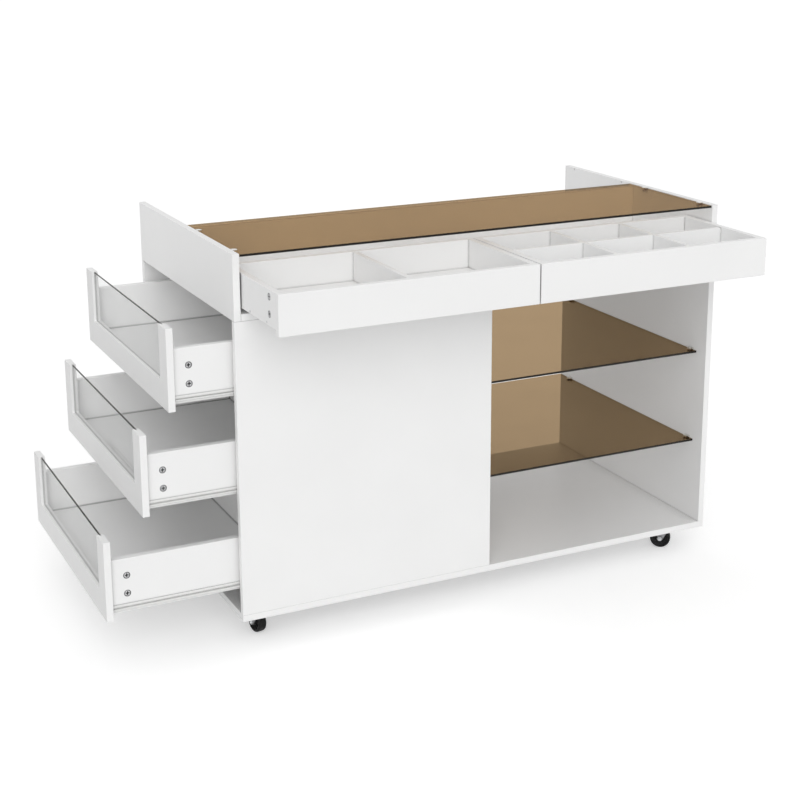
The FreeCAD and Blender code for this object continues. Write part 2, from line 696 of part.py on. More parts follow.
def caster_plate():
    plate = box(-PLATE_HALF, PLATE_HALF, -PLATE_HALF, PLATE_HALF, -PLATE, 0)
    upright = [e for e in plate.Edges if e.BoundBox.ZLength > 1]
    plate = plate.makeFillet(PLATE_CORNER_R, upright)
    race_foot = -PLATE - RACE_DEEP
    king_end = race_foot - KING_GAP
    # Half section of the upper race and the king pin with its riveted head
    section = [(0, -PLATE), (RACE_R, -PLATE), (RACE_FOOT_R, race_foot), (KING_R, race_foot),
               (KING_R, king_end), (KING_HEAD_R, king_end), (KING_HEAD_R - 1.5, king_end - KING_HEAD),
               (0, king_end - KING_HEAD), (0, -PLATE)]
    wire = Part.makePolygon([V(a, 0, b) for a, b in section])
    cup = Part.Face(wire).revolve(V(0, 0, 0), Z_AXIS, 360)
    spots = [(sx * PLATE_HOLE, sy * PLATE_HOLE) for sx in (-1, 1) for sy in (-1, 1)]
    holes = [rod(PLATE_HOLE_R, V(x, y, -PLATE - 1), Z_AXIS, PLATE + 2) for x, y in spots]
    return join([plate, cup]).cut(holes)


def caster_hub():
    return V(TRAIL, 0, WHEEL_R - CASTER_H)


# Pressed fork with a round crown and two tapered legs, and the axle bolt between them

def caster_fork():
    top = -PLATE - RACE_DEEP - FORK_GAP
    hub = caster_hub()
    wide = LEG_GAP + FORK_STEEL
    crown = rod(CROWN_R, V(0, 0, top - FORK_STEEL), Z_AXIS, FORK_STEEL)
    bridge = box(3 - LEG_BACK, LEG_FRONT, -wide, wide, top - FORK_STEEL, top)
    legs = []
    foot = [math.radians(a) for a in (15, -25, -65, -115, -155)]
    for y in (-wide, LEG_GAP):
        outline = [V(-LEG_BACK, y, top), V(LEG_FRONT, y, top)]
        outline += [hub + V(LEG_FOOT_R * math.cos(a), y, LEG_FOOT_R * math.sin(a)) for a in foot]
        legs.append(prism(outline, Y_AXIS * FORK_STEEL))
    fork = join([crown, bridge] + legs)
    fork = fork.cut([
        rod(KING_R + RUN, V(0, 0, top - FORK_STEEL - 1), Z_AXIS, FORK_STEEL + 2),
        rod(AXLE_R + AXLE_PLAY, hub - Y_AXIS * 2 * wide, Y_AXIS, 4 * wide),
    ])
    axle = rod(AXLE_R, hub - Y_AXIS * (wide + 1), Y_AXIS, 2 * wide + NUT + 1.4)
    head = rod(AXLE_HEAD_R, hub - Y_AXIS * (wide + AXLE_HEAD), Y_AXIS, AXLE_HEAD)
    nut = prism(hexagon(hub + Y_AXIS * wide, NUT_R, X_AXIS, Z_AXIS), Y_AXIS * NUT)
    return [fork, join([axle, head, nut])]


# Wheel: a proud hub, a sunk web and a tyre with rounded shoulders

def caster_wheel():
    hub = caster_hub()
    half = WHEEL_W / 2
    r = WHEEL_R
    side = [(AXLE_R + RUN, half + HUB_PROUD), (HUB_R, half + HUB_PROUD), (HUB_R + 1, half - WEB_SINK),
            (RIM_R, half - WEB_SINK), (RIM_R + 1, half), (r - 3, half), (r - 0.9, half - 1.2), (r, half - 4)]
    profile = side + [(a, -b) for a, b in reversed(side)]
    points = [hub + V(0, b, a) for a, b in profile]
    return Part.Face(Part.makePolygon(points + [points[0]])).revolve(hub, Y_AXIS, 360)


def casters():
    spots = ((CASTER_IN, CASTER_IN, "front_left"), (WIDTH - CASTER_IN, CASTER_IN, "front_right"),
             (WIDTH - CASTER_IN, DEPTH - CASTER_IN, "rear_right"), (CASTER_IN, DEPTH - CASTER_IN, "rear_left"))
    for (x, y, name), turn in zip(spots, CASTER_TURN):
        step = V(x, y, 0)
        add("caster_plates", moved([caster_plate()], step))
        for sx in (-1, 1):
            for sy in (-1, 1):
                at = V(x + sx * PLATE_HOLE, y + sy * PLATE_HOLE, -PLATE)
                screw, hole = pan_screw(at, Z_AXIS, CASTER_SCREW)
                add("pan_head_screws", screw)
                cut("bottom_board", hole)
        for kind, pieces in (("fork", caster_fork()), ("wheel", [caster_wheel()])):
            for piece in pieces:
                piece.rotate(V(0, 0, 0), Z_AXIS, turn)
            add("caster_" + kind + "_" + name, moved(pieces, step))


carcass_screws()
carcass_cams()
glass_and_clips()
for index in range(len(END_NAMES)):
    end_drawer(index)
top_drawer("open_tray_drawer", BOARD + TOP_GAP, one_divider)
top_drawer("divided_drawer", BOARD + 2 * TOP_GAP + TOP_W, cross_dividers)
casters()
for name, shape in carcass_boards().items():
    add(name, carve(shape, CUTS.get(name)))

for name, pieces in NODES.items():
    placed = moved(pieces, SHIFT)
    shape = placed[0] if len(placed) == 1 else Part.makeCompound(placed)
    shape.exportStep("parts/" + name + ".step")
print(len(NODES), "nodes")
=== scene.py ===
import json
import math

import bmesh
import bpy
from bpy.props import FloatProperty, FloatVectorProperty, IntProperty, PointerProperty
from mathutils import Matrix, Vector


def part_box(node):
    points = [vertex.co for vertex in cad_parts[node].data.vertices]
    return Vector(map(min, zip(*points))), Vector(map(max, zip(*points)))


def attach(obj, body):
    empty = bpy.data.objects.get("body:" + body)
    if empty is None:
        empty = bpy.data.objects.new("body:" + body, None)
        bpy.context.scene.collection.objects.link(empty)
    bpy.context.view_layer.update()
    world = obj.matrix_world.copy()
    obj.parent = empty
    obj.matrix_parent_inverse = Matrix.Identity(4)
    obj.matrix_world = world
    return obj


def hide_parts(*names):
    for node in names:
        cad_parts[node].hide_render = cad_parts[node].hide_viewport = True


bl_info = {
    "name": "Storage Island",
    "version": (1, 0, 0),
    "blender": (4, 5, 0),
    "location": "View3D > Sidebar > Island",
    "description": "Finishes and fine pieces of a white storage island on casters",
    "category": "Object",
}

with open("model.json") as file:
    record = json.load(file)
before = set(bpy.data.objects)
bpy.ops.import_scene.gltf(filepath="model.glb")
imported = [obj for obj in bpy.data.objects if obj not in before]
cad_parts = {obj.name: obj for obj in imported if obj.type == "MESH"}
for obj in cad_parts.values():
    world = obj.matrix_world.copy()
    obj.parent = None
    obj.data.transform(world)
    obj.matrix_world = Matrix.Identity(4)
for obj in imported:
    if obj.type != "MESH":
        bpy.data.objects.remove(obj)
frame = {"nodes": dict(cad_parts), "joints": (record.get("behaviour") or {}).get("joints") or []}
NODES = frame["nodes"]
JOINTS = {joint["name"]: joint for joint in frame["joints"]}
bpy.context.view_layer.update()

BOARDS = ("front_panel", "back_panel", "centre_partition", "left_upper_panel", "deck_board")
END_DRAWERS = ("lower_drawer", "middle_drawer", "upper_drawer")
TOP_DRAWERS = ("open_tray_drawer", "divided_drawer")
CORNERS = ("front_left", "front_right", "rear_right", "rear_left")

MM = 0.001
SAME_PLACE = 0.001 * MM

FRONT = (0, -1, 0)
REAR = (0, 1, 0)
UP = (0, 0, 1)

# How far each drawer pane sits in the groove of its frame, and how far its seal ends below its top
PANE_SIDE_SEAT = 7.5 * MM
PANE_FOOT_SEAT = 8.0 * MM
PANE_SEAL_DROP = 0.5 * MM
SEAL_SEAM = 0.1 * MM

# A cam is at least this wide, and as wide as it is high within the play
LEAST_CAM = 12.0 * MM
CAM_ROUND_PLAY = 0.1 * MM
CAM_STEPS = 48

# Each side of a wheel has a sunk web with ribs inside its tyre
TYRE_INSIDE = 21.0 * MM
RIBS = 10
RIB_START = 8.6 * MM
RIB_END = 19.2 * MM
RIB_HALF = 0.5 * MM
RIB_OUT = 8.1 * MM
RIB_DEPTH = 1.3 * MM

# Where the two soft lamps stand, seen from the island, and how wide each shines in degrees
KEY_FROM = (-0.345, -0.86, 0.42)
KEY_WIDE = 50.0
TOP_FROM = (-0.25, -0.30, 0.92)
TOP_WIDE = 70.0
FLOOR_HALF = 40.0
FLOOR_LIFT = 0.38

CAMERA_AT = Vector((-1.466886, -3.100689, 1.541412))
CAMERA_RIGHT = Vector((0.9004695, -0.4349004, -0.004036))
CAMERA_UP = Vector((0.110054, 0.2188714, 0.9695274))
CAMERA_FORWARD = Vector((0.4207645, 0.8734741, -0.2449496))
CAMERA_LENS = 69.487
CAMERA_SENSOR = 36.0
CAMERA_SHIFT_Y = -0.125
CAMERA_FAR = 200.0


# Sizes and colours that a user would change

class IslandSizes(bpy.types.PropertyGroup):
    bronze_arris: FloatProperty(
        name="Bronze arris", description="Width of the ground edge of the bronze glass",
        default=0.0006, min=0.0002, max=0.0015, unit="LENGTH")
    clear_arris: FloatProperty(
        name="Clear arris", description="Width of the ground edge of the clear panes",
        default=0.0015, min=0.0002, max=0.0018, unit="LENGTH")
    shelf_glass: FloatProperty(
        name="Shelf glass", description="Thickness of the two glass shelves",
        default=0.005, min=0.003, max=0.008, unit="LENGTH")
    tread_line: FloatProperty(
        name="Tread line", description="Depth of the mould line round each tyre",
        default=0.0003, min=0.0, max=0.001, unit="LENGTH")
    wheel_steps: IntProperty(
        name="Wheel steps", description="Steps round each caster wheel",
        default=72, min=24, max=144)


class IslandColours(bpy.types.PropertyGroup):
    laminate: FloatVectorProperty(
        name="Laminate", description="White of the boards",
        default=(0.865, 0.865, 0.862), min=0.0, max=1.0, size=3, subtype="COLOR")
    bronze: FloatVectorProperty(
        name="Bronze shelves", description="Light that passes one face of a glass shelf",
        default=(0.612, 0.516, 0.396), min=0.0, max=1.0, size=3, subtype="COLOR")
    bronze_top: FloatVectorProperty(
        name="Bronze top", description="Light that passes one face of the glass top",
        default=(0.668, 0.538, 0.372), min=0.0, max=1.0, size=3, subtype="COLOR")
    # A darker tint than the top's, so the white seen past the rear edge takes painted shade like the shaded
    # board seen through the rest of the top
    bronze_rear_shade: FloatVectorProperty(
        name="Bronze rear edge", description="Light that passes the rear edge of the glass top",
        default=(0.430, 0.360, 0.270), min=0.0, max=1.0, size=3, subtype="COLOR")
    clear: FloatVectorProperty(
        name="Clear glass", description="Light that passes one face of the clear panes",
        default=(0.928, 0.930, 0.929), min=0.0, max=1.0, size=3, subtype="COLOR")
    pane_edge: FloatVectorProperty(
        name="Glass edge", description="Dark look into the edge of a pane",
        default=(0.012, 0.010, 0.008), min=0.0, max=1.0, size=3, subtype="COLOR")
    nickel: FloatVectorProperty(
        name="Clips", description="Satin nickel of the glass clips",
        default=(0.70, 0.69, 0.66), min=0.0, max=1.0, size=3, subtype="COLOR")
    zinc: FloatVectorProperty(
        name="Zinc", description="Plated steel of screws, plates and flat runners",
        default=(0.56, 0.57, 0.58), min=0.0, max=1.0, size=3, subtype="COLOR")
    cam: FloatVectorProperty(
        name="Cams", description="Grey die-cast metal of the cam locks",
        default=(0.60, 0.60, 0.61), min=0.0, max=1.0, size=3, subtype="COLOR")
    fork: FloatVectorProperty(
        name="Forks", description="Pressed steel of the caster forks",
        default=(0.28, 0.28, 0.285), min=0.0, max=1.0, size=3, subtype="COLOR")
    powder: FloatVectorProperty(
        name="White steel", description="Powder coat of the roller runners",
        default=(0.80, 0.80, 0.79), min=0.0, max=1.0, size=3, subtype="COLOR")
    tyre: FloatVectorProperty(
        name="Tyre", description="Black of the tyres",
        default=(0.007, 0.007, 0.007), min=0.0, max=1.0, size=3, subtype="COLOR")


class IslandStage(bpy.types.PropertyGroup):
    sky: FloatProperty(
        name="Sky", description="Strength of the even light from all round",
        default=0.57, min=0.0, max=2.0)
    key: FloatProperty(
        name="Key lamp", description="Strength of the soft lamp in front",
        default=1.27, min=0.0, max=10.0)
    top: FloatProperty(
        name="Top lamp", description="Strength of the soft lamp overhead",
        default=0.35, min=0.0, max=10.0)
    floor: FloatVectorProperty(
        name="Floor", description="Pale floor",
        default=(0.80, 0.80, 0.80), min=0.0, max=1.0, size=3, subtype="COLOR")


# Helpers for node materials

def start_material(name):
    material = bpy.data.materials.new(name)
    material.use_nodes = True
    material.node_tree.nodes.clear()
    return material, material.node_tree


def put(tree, kind, inputs=(), **settings):
    node = tree.nodes.new(kind)
    for key, value in settings.items():
        setattr(node, key, value)
    for key, value in dict(inputs).items():
        if isinstance(value, bpy.types.NodeSocket):
            tree.links.new(value, node.inputs[key])
        else:
            node.inputs[key].default_value = value
    return node


def rgba(colour, shade=1.0):
    return (colour[0] * shade, colour[1] * shade, colour[2] * shade, 1.0)


def place(tree, scale=(1.0, 1.0, 1.0)):
    where = put(tree, "ShaderNodeTexCoord")
    moved = put(tree, "ShaderNodeMapping", {"Vector": where.outputs["Object"], "Scale": scale})
    return moved.outputs["Vector"]


def noise(tree, where, scale, detail=2.0, rough=0.5):
    made = put(tree, "ShaderNodeTexNoise",
               {"Vector": where, "Scale": scale, "Detail": detail, "Roughness": rough})
    return made.outputs["Fac"]


def spread(tree, value, low, high, start=0.3, end=0.7):
    made = put(tree, "ShaderNodeMapRange",
               {"Value": value, "From Min": start, "From Max": end, "To Min": low, "To Max": high})
    return made.outputs["Result"]


def blend_colour(tree, factor, first, second, how="MIX"):
    made = put(tree, "ShaderNodeMix", data_type="RGBA", blend_type=how)
    for socket, value in ((0, factor), (6, first), (7, second)):
        if isinstance(value, bpy.types.NodeSocket):
            tree.links.new(value, made.inputs[socket])
        else:
            made.inputs[socket].default_value = value
    return made.outputs[2]


def bump(tree, height, strength, depth):
    made = put(tree, "ShaderNodeBump", {"Height": height, "Strength": strength, "Distance": depth})
    return made.outputs["Normal"]


# 1 near a surface's edges, 0 on its open faces; the materials make their colour lighter there
def edge_mask(tree, radius):
    rounded = put(tree, "ShaderNodeBevel", {"Radius": radius}, samples=4)
    flat = put(tree, "ShaderNodeNewGeometry")
    dot = put(tree, "ShaderNodeVectorMath",
              {0: rounded.outputs["Normal"], 1: flat.outputs["Normal"]}, operation="DOT_PRODUCT")
    return spread(tree, dot.outputs["Value"], 1.0, 0.0, 0.80, 0.995)


# 1 on the broad faces of a board that stands across X, 0 on its edges; it picks out the faces that take
# painted shade

def broad_face(tree):
    where = put(tree, "ShaderNodeTexCoord")
    parts = put(tree, "ShaderNodeSeparateXYZ", {0: where.outputs["Normal"]})
    along = put(tree, "ShaderNodeMath", {0: parts.outputs["X"]}, operation="ABSOLUTE")
    return spread(tree, along.outputs["Value"], 0.0, 1.0, 0.6, 0.8)


# How shut in a surface is, from 0 in the open to 1 in the corner where two boards meet; the materials paint
# shade into their colour by it

def occlusion_shade(tree, reach, start=0.55, end=0.92):
    shade = put(tree, "ShaderNodeAmbientOcclusion", {"Distance": reach}, samples=4)
    return spread(tree, shade.outputs["AO"], 1.0, 0.0, start, end)


# One value for rays that light the object, another for rays that look at a surface

def seen(tree, lighting, looking):
    path = put(tree, "ShaderNodeLightPath")
    first = put(tree, "ShaderNodeMath",
                {0: path.outputs["Is Camera Ray"], 1: path.outputs["Is Glossy Ray"]}, operation="ADD")
    both = put(tree, "ShaderNodeMath", {0: first.outputs["Value"], 1: path.outputs["Is Transmission Ray"]},
               operation="ADD", use_clamp=True)
    return spread(tree, both.outputs["Value"], lighting, looking, 0.0, 1.0)


def finish_material(tree, shader):
    put(tree, "ShaderNodeOutputMaterial", {"Surface": shader})


# Materials

LAMINATE_EDGE_REACH = 1.2 * MM
CREASE_SHADE_REACH = 5 * MM
BAY_SHADE_REACH = 90 * MM


def white_laminate(colours, name, crease_shade, deep=0.0, face=1.0):
    material, tree = start_material(name)
    where = place(tree)
    cloud = spread(tree, noise(tree, where, 5.0, 4.0), 0.0, 1.0)
    speck = spread(tree, noise(tree, where, 260.0, 3.0), 0.0, 1.0, 0.62, 0.78)
    base = blend_colour(tree, cloud, rgba(colours.laminate, 0.985), rgba(colours.laminate, 1.01))
    base = blend_colour(tree, speck, base, rgba(colours.laminate, 0.965))
    # Broad faces that look along X are painted a shade darker than the edges: painted shade
    if face < 1.0:
        base = blend_colour(tree, broad_face(tree), base, rgba((1.0, 1.0, 1.0), face), "MULTIPLY")
    edge = spread(tree, edge_mask(tree, LAMINATE_EDGE_REACH), 0.0, 0.7, 0.0, 1.0)
    base = blend_colour(tree, edge, base, rgba(colours.laminate, 1.05))
    # Painted shade: the colour darkens towards the corners where boards meet
    if crease_shade:
        corner = spread(tree, occlusion_shade(tree, CREASE_SHADE_REACH), 0.0, crease_shade, 0.0, 1.0)
        base = blend_colour(tree, corner, base, rgba(colours.laminate, 0.20))
    # Painted shade: the colour darkens deep in the bay, under the drawers, where little light reaches
    if deep:
        inside = spread(tree, occlusion_shade(tree, BAY_SHADE_REACH, 0.10, 0.45), 0.0, deep, 0.0, 1.0)
        base = blend_colour(tree, inside, base, rgba(colours.laminate, 0.10))
    wiped = noise(tree, place(tree, (3.0, 40.0, 3.0)), 6.0, 4.0)
    rough = spread(tree, wiped, 0.34, 0.46)
    peel = bump(tree, noise(tree, where, 420.0, 2.0), 0.12, 0.0002)
    shader = put(tree, "ShaderNodeBsdfPrincipled",
                 {"Base Color": base, "Roughness": rough, "Normal": peel, "IOR": 1.46})
    finish_material(tree, shader.outputs["BSDF"])
    return material


def glass_face(name, tint, lamplight, gloss):
    material, tree = start_material(name)
    where = place(tree)
    smear = spread(tree, noise(tree, where, 9.0, 5.0, 0.6), 0.0, 1.0, 0.45, 0.75)
    through = blend_colour(tree, smear, rgba(tint), rgba(tint, 0.985))
    through = blend_colour(tree, seen(tree, 0.0, 1.0), rgba(lamplight), through)
    clear = put(tree, "ShaderNodeBsdfTransparent", {"Color": through})
    rough = spread(tree, smear, 0.02, 0.09, 0.0, 1.0)
    shine = put(tree, "ShaderNodeBsdfGlossy", {"Color": (1.0, 1.0, 1.0, 1.0), "Roughness": rough})
    grazing = put(tree, "ShaderNodeLayerWeight", {"Blend": 0.5})
    power = put(tree, "ShaderNodeMath", {0: grazing.outputs["Facing"], 1: 5.0}, operation="POWER")
    amount = spread(tree, power.outputs["Value"], 0.04 * gloss, gloss, 0.0, 1.0)
    mixed = put(tree, "ShaderNodeMixShader", {0: amount, 1: clear.outputs["BSDF"], 2: shine.outputs["BSDF"]})
    finish_material(tree, mixed.outputs["Shader"])
    return material


def glass_edge(name, colour):
    material, tree = start_material(name)
    where = place(tree)
    ground = noise(tree, where, 900.0, 2.0)
    base = blend_colour(tree, spread(tree, ground, 0.0, 1.0), rgba(colour), rgba(colour, 1.6))
    shader = put(tree, "ShaderNodeBsdfPrincipled",
                 {"Base Color": base, "Roughness": spread(tree, ground, 0.16, 0.30), "IOR": 1.30,
                  "Normal": bump(tree, ground, 0.15, 0.0001)})
    finish_material(tree, shader.outputs["BSDF"])
    return material


def plated(name, colour, roughness, spangle):
    material, tree = start_material(name)
    where = place(tree)
    cells = put(tree, "ShaderNodeTexVoronoi", {"Vector": where, "Scale": spangle}).outputs["Distance"]
    cloud = noise(tree, where, 60.0, 4.0)
    base = blend_colour(tree, spread(tree, cells, 0.0, 1.0, 0.1, 0.6), rgba(colour, 0.93), rgba(colour, 1.04))
    base = blend_colour(tree, spread(tree, cloud, 0.0, 0.6, 0.55, 0.8), base, rgba(colour, 0.80))
    edge = edge_mask(tree, 0.0005)
    base = blend_colour(tree, edge, base, rgba(colour, 1.12))
    drawn = noise(tree, place(tree, (1.0, 1.0, 12.0)), 700.0, 2.0)
    shader = put(tree, "ShaderNodeBsdfPrincipled",
                 {"Base Color": base, "Metallic": 1.0,
                  "Roughness": spread(tree, cloud, roughness - 0.05, roughness + 0.09),
                  "Normal": bump(tree, drawn, 0.10, 0.0001)})
    finish_material(tree, shader.outputs["BSDF"])
    return material


def cast_metal(name, colour, rim, rim_shade):
    material, tree = start_material(name)
    where = place(tree)
    grain = noise(tree, where, 500.0, 4.0)
    base = blend_colour(tree, spread(tree, grain, 0.0, 1.0), rgba(colour, 0.85), rgba(colour, 1.15))
    # Near edges the colour goes to rim_shade times its tone; on the forks this is a painted highlight
    base = blend_colour(tree, edge_mask(tree, rim), base, rgba(colour, rim_shade))
    # Painted shade: near-black where surfaces close in, in grooves and between parts
    base = blend_colour(tree, occlusion_shade(tree, 0.003, 0.45, 0.85), base, rgba(colour, 0.04))
    shader = put(tree, "ShaderNodeBsdfPrincipled",
                 {"Base Color": base, "Metallic": 1.0, "Roughness": spread(tree, grain, 0.36, 0.52),
                  "Normal": bump(tree, grain, 0.30, 0.0002)})
    finish_material(tree, shader.outputs["BSDF"])
    return material


def powder_coat(colours):
    material, tree = start_material("white_powder_coat")
    where = place(tree)
    grain = noise(tree, where, 1400.0, 2.0)
    rubbed = spread(tree, noise(tree, place(tree, (2.0, 60.0, 60.0)), 8.0, 3.0), 0.0, 1.0, 0.5, 0.75)
    base = blend_colour(tree, rubbed, rgba(colours.powder), rgba(colours.powder, 0.985))
    base = blend_colour(tree, edge_mask(tree, 0.0006), base, rgba(colours.powder, 1.05))
    # Painted shade: darker where surfaces close in
    base = blend_colour(tree, occlusion_shade(tree, 0.004), base, rgba(colours.powder, 0.35))
    shader = put(tree, "ShaderNodeBsdfPrincipled",
                 {"Base Color": base, "Roughness": spread(tree, grain, 0.30, 0.42),
                  "Normal": bump(tree, grain, 0.22, 0.0001)})
    finish_material(tree, shader.outputs["BSDF"])
    return material


def seal(colours):
    material, tree = start_material("grey_seal")
    where = place(tree)
    grain = noise(tree, where, 300.0, 3.0)
    base = blend_colour(tree, spread(tree, grain, 0.0, 1.0),
                        rgba(colours.laminate, 0.66), rgba(colours.laminate, 0.72))
    shader = put(tree, "ShaderNodeBsdfPrincipled",
                 {"Base Color": base, "Roughness": spread(tree, grain, 0.45, 0.60), "IOR": 1.42,
                  "Normal": bump(tree, grain, 0.15, 0.0001)})
    finish_material(tree, shader.outputs["BSDF"])
    return material


DUST = (0.022, 0.021, 0.020)
SCUFF = (0.018, 0.018, 0.018)


def black_rubber(name, colour, roughness):
    material, tree = start_material(name)
    where = place(tree)
    dust = spread(tree, noise(tree, where, 110.0, 5.0, 0.6), 0.0, 1.0, 0.52, 0.78)
    base = blend_colour(tree, dust, rgba(colour), rgba(DUST))
    base = blend_colour(tree, edge_mask(tree, 0.0008), base, rgba(SCUFF))
    fine = noise(tree, where, 1100.0, 2.0)
    shader = put(tree, "ShaderNodeBsdfPrincipled",
                 {"Base Color": base, "Roughness": spread(tree, fine, roughness - 0.06, roughness + 0.10),
                  "IOR": 1.28, "Normal": bump(tree, fine, 0.25, 0.0001)})
    finish_material(tree, shader.outputs["BSDF"])
    return material


# Light that comes through one face of the bronze glass is kept nearly neutral, as the white insides are
SHELF_LAMPLIGHT = (0.86, 0.85, 0.84)
TOP_LAMPLIGHT = (0.96, 0.955, 0.95)
PANE_LAMPLIGHT = (0.98, 0.98, 0.98)

FINISHES = {
    "cam": lambda c: cast_metal("cast_cam", c.cam, 0.0003, 1.2),
    # Near-black for the groove and the cross slot: painted shade
    "cam_recess_shade": lambda c: cast_metal("cast_cam_recess_painted_shade", [0.04 * part for part in c.cam], 0.0002, 1.2),
    # The forks' edges are painted 1.9 times lighter than the steel: painted highlight
    "fork": lambda c: cast_metal("pressed_fork", c.fork, 0.0006, 1.9),
    # The number after each laminate's name is how dark its painted corner shade goes
    "laminate": lambda c: white_laminate(c, "white_laminate", 0.85),
    "frame_laminate": lambda c: white_laminate(c, "white_frame_laminate", 0.0),
    # Its broad faces are painted a shade darker than their edges: painted shade
    "front_laminate": lambda c: white_laminate(c, "white_front_laminate", 0.0, face=0.87),
    "tray_laminate": lambda c: white_laminate(c, "white_tray_laminate", 0.35),
    "side_laminate": lambda c: white_laminate(c, "white_side_laminate", 0.12),
    # Its last number paints shade deep in the bay under the drawers
    "bottom_laminate": lambda c: white_laminate(c, "white_bottom_laminate", 0.12, 0.8),
    "bronze_top": lambda c: glass_face("bronze_top_face", c.bronze_top, TOP_LAMPLIGHT, 0.12),
    "bronze_rear_shade": lambda c: glass_face("bronze_rear_face", c.bronze_rear_shade, TOP_LAMPLIGHT, 0.12),
    "bronze_shelf": lambda c: glass_face("bronze_shelf_face", c.bronze, SHELF_LAMPLIGHT, 0.02),
    "bronze_edge": lambda c: glass_edge("bronze_glass_edge", c.pane_edge),
    "clear": lambda c: glass_face("clear_glass_face", c.clear, PANE_LAMPLIGHT, 0.25),
    "clear_edge": lambda c: glass_edge("clear_glass_edge", c.pane_edge),
    "nickel": lambda c: plated("satin_nickel", c.nickel, 0.26, 900.0),
    "zinc": lambda c: plated("zinc_plate", c.zinc, 0.34, 420.0),
    "powder": powder_coat,
    "seal": seal,
    "tyre": lambda c: black_rubber("tyre_rubber", c.tyre, 0.52),
    "wheel_core": lambda c: black_rubber("wheel_core_plastic", c.tyre, 0.36),
}


def finish(name):
    made = bpy.data.materials.get(name + "_finish")
    if made is None:
        made = FINISHES[name](bpy.context.scene.island_colours)
        made.name = name + "_finish"
    return made


# Helpers for pieces

def dress(names, finish_name):
    for name in names:
        if name not in NODES:
            raise RuntimeError("the packed model has no piece named " + name)
        node = NODES[name]
        if not node.material_slots:
            node.data.materials.append(None)
        for holder in node.material_slots:
            holder.material = finish(finish_name)


def make_piece(name, mesh, finishes, body, replaced=()):
    data = bpy.data.meshes.new(name)
    bmesh.ops.remove_doubles(mesh, verts=mesh.verts, dist=SAME_PLACE)
    bmesh.ops.recalc_face_normals(mesh, faces=mesh.faces)
    mesh.to_mesh(data)
    mesh.free()
    for item in finishes:
        data.materials.append(finish(item))
    piece = bpy.data.objects.new(name, data)
    bpy.context.scene.collection.objects.link(piece)
    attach(piece, body)
    if replaced:
        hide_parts(*replaced)
    return piece


# Curved steps are small and shade as one, and a large face is flat and stays so
def smooth(mesh, limit=math.radians(35), large=60 * MM * MM):
    for face in mesh.faces:
        face.smooth = face.calc_area() < large
    for edge in mesh.edges:
        if len(edge.link_faces) == 2 and edge.calc_face_angle(0.0) > limit:
            edge.smooth = False


def add_block(mesh, low, high, bevel, segments=2):
    low = Vector(low)
    high = Vector(high)
    size = high - low
    turn = Matrix.Translation((low + high) / 2) @ Matrix.Diagonal((size.x, size.y, size.z, 1.0))
    made = bmesh.ops.create_cube(mesh, size=1.0, matrix=turn)["verts"]
    edges = list({edge for vert in made for edge in vert.link_edges})
    bmesh.ops.bevel(mesh, geom=edges, offset=bevel, segments=segments, profile=0.5,
                    affect="EDGES", material=-1)


# A half section of (radius, height) points spun about the vertical through the origin

def add_spun(mesh, section, steps, closed=False):
    old = set(mesh.verts)
    verts = [mesh.verts.new((r, 0.0, z)) for r, z in section]
    edges = [mesh.edges.new(pair) for pair in zip(verts, verts[1:])]
    if closed:
        edges.append(mesh.edges.new((verts[-1], verts[0])))
    bmesh.ops.spin(mesh, geom=verts + edges, cent=(0, 0, 0), axis=(0, 0, 1), angle=math.tau,
                   steps=steps, use_merge=True)
    made = [vert for vert in mesh.verts if vert not in old]
    bmesh.ops.remove_doubles(mesh, verts=made, dist=SAME_PLACE)


# A flat outline pushed to a thickness, with its edges eased

def add_plate(mesh, outline, push, ease, segments=2):
    verts = [mesh.verts.new(point) for point in outline]
    face = mesh.faces.new(verts)
    moved = bmesh.ops.extrude_face_region(mesh, geom=[face])["geom"]
    far = [item for item in moved if isinstance(item, bmesh.types.BMVert)]
    bmesh.ops.translate(mesh, verts=far, vec=push)
    edges = list({edge for vert in verts + far for edge in vert.link_edges})
    bmesh.ops.bevel(mesh, geom=edges, offset=ease, segments=segments, profile=0.5,
                    affect="EDGES", material=-1)


def place_mesh(mesh, verts, at, turn):
    bmesh.ops.transform(mesh, matrix=Matrix.Translation(at) @ turn, verts=verts)


# The faces of a pane that look one way take the material of its edge

def mark_edge(mesh, way, material=1, limit=0.3):
    mesh.normal_update()
    for face in mesh.faces:
        if face.normal.dot(Vector(way)) > limit:
            face.material_index = material


# Operators, one for each piece or group of like pieces

class ISLAND_OT_boards(bpy.types.Operator):
    """Gives the carcass boards their white laminate"""
    bl_idname = "island.boards"
    bl_label = "Carcass Boards"
    bl_options = {"REGISTER"}

    def execute(self, context):
        dress(BOARDS, "laminate")
        dress(["drawer_bay_back"], "frame_laminate")
        dress(["right_side_panel"], "side_laminate")
        dress(["bottom_board"], "bottom_laminate")
        return {"FINISHED"}


class ISLAND_OT_end_drawers(bpy.types.Operator):
    """Gives the three end drawers their laminate and coated roller runners"""
    bl_idname = "island.end_drawers"
    bl_label = "End Drawers"
    bl_options = {"REGISTER"}

    def execute(self, context):
        for drawer in END_DRAWERS:
            dress([drawer + "_front_frame"], "front_laminate")
            dress([drawer + "_" + part for part in ("sides", "back", "floor")], "laminate")
            dress([drawer + "_runners"], "powder")
        dress(["runner_rails"], "powder")
        return {"FINISHED"}


class ISLAND_OT_top_drawers(bpy.types.Operator):
    """Gives the two flat drawers their laminate and flat runners"""
    bl_idname = "island.top_drawers"
    bl_label = "Top Drawers"
    bl_options = {"REGISTER"}

    def execute(self, context):
        for drawer in TOP_DRAWERS:
            dress([drawer + "_" + part for part in ("front", "sides", "back", "floor", "dividers")],
                  "tray_laminate")
            dress([drawer + "_runners"], "zinc")
        dress(["top_runner_channels"], "zinc")
        return {"FINISHED"}


